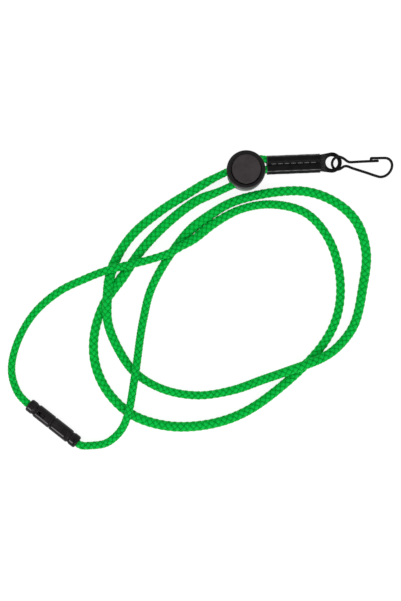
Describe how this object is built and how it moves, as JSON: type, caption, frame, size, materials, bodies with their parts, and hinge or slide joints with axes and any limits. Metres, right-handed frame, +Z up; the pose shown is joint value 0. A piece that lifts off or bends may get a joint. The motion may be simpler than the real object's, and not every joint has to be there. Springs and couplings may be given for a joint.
{
  "type": "lanyard",
  "caption": "Neck lanyard of round braided cord with a push-button slider, stitched sleeve, wire snap hook and barrel breakaway, lying in an open coil.",
  "frame": {"origin": "centre of the slider's underside, on the table that the lanyard lies on", "axes": "+X from the slider along the sleeve towards the hook, +Y across it in the plane of the table, +Z up from the table"},
  "size_m": [0.1585, 0.1221, 0.0106],
  "materials": {
    "braided_cord": "round green braid with a soft sheen",
    "sleeve_vinyl": "black vinyl sleeve with a fine grain",
    "thread": "dark sewing thread",
    "eye_plastic": "fine textured moulding",
    "slider_plastic": "satin black moulding",
    "button_plastic": "matt dark grey-brown moulding",
    "spring_steel": "bright spring wire",
    "hook_wire": "black coated wire",
    "connector_plastic": "gloss black moulding"
  },
  "bodies": {
    "strap": {"cord_sleeve": "sleeve_vinyl", "sleeve_stitching": "thread", "eye_fitting": "eye_plastic", "cord_a": "braided_cord", "cord_b": "braided_cord", "breakaway_socket": "connector_plastic", "socket_end_cap": "connector_plastic"},
    "slider": {"slider_barrel": "slider_plastic", "slider_spring": "spring_steel"},
    "button": {"slider_button": "button_plastic"},
    "hook": {"hook_wire": "hook_wire"},
    "gate": {"hook_gate": "hook_wire"},
    "plug": {"breakaway_plug": "connector_plastic", "plug_end_cap": "connector_plastic"}
  },
  "joints": [
    {"name": "slider_slide", "type": "slide", "parent": "strap", "child": "slider", "axis": [-0.9063, -0.4226, 0], "range_m": [0, 0.006]},
    {"name": "button_press", "type": "slide", "parent": "slider", "child": "button", "axis": [0, 0, -1], "range_m": [0, 0.0009], "stiffness_N_per_m": 120, "springref_m": -0.0012, "deforming": ["slider_spring"]},
    {"name": "hook_swing", "type": "hinge", "parent": "strap", "child": "hook", "pos_m": [0.0355, 0.0038, 0.00215], "axis": [0, 0, 1], "range_deg": [-45, 75]},
    {"name": "gate_flex", "type": "hinge", "parent": "hook", "child": "gate", "pos_m": [0.0435, 0.00386, 0.0028], "axis": [0.0678, 0.4729, -0.8785], "range_deg": [0, 16], "stiffness_Nm_per_rad": 0.0004, "springref_deg": -11.46},
    {"name": "breakaway_release", "type": "slide", "parent": "strap", "child": "plug", "axis": [0.7837, -0.6211, 0], "range_m": [0, 0.007], "deforming": ["cord_a"]}
  ]
}
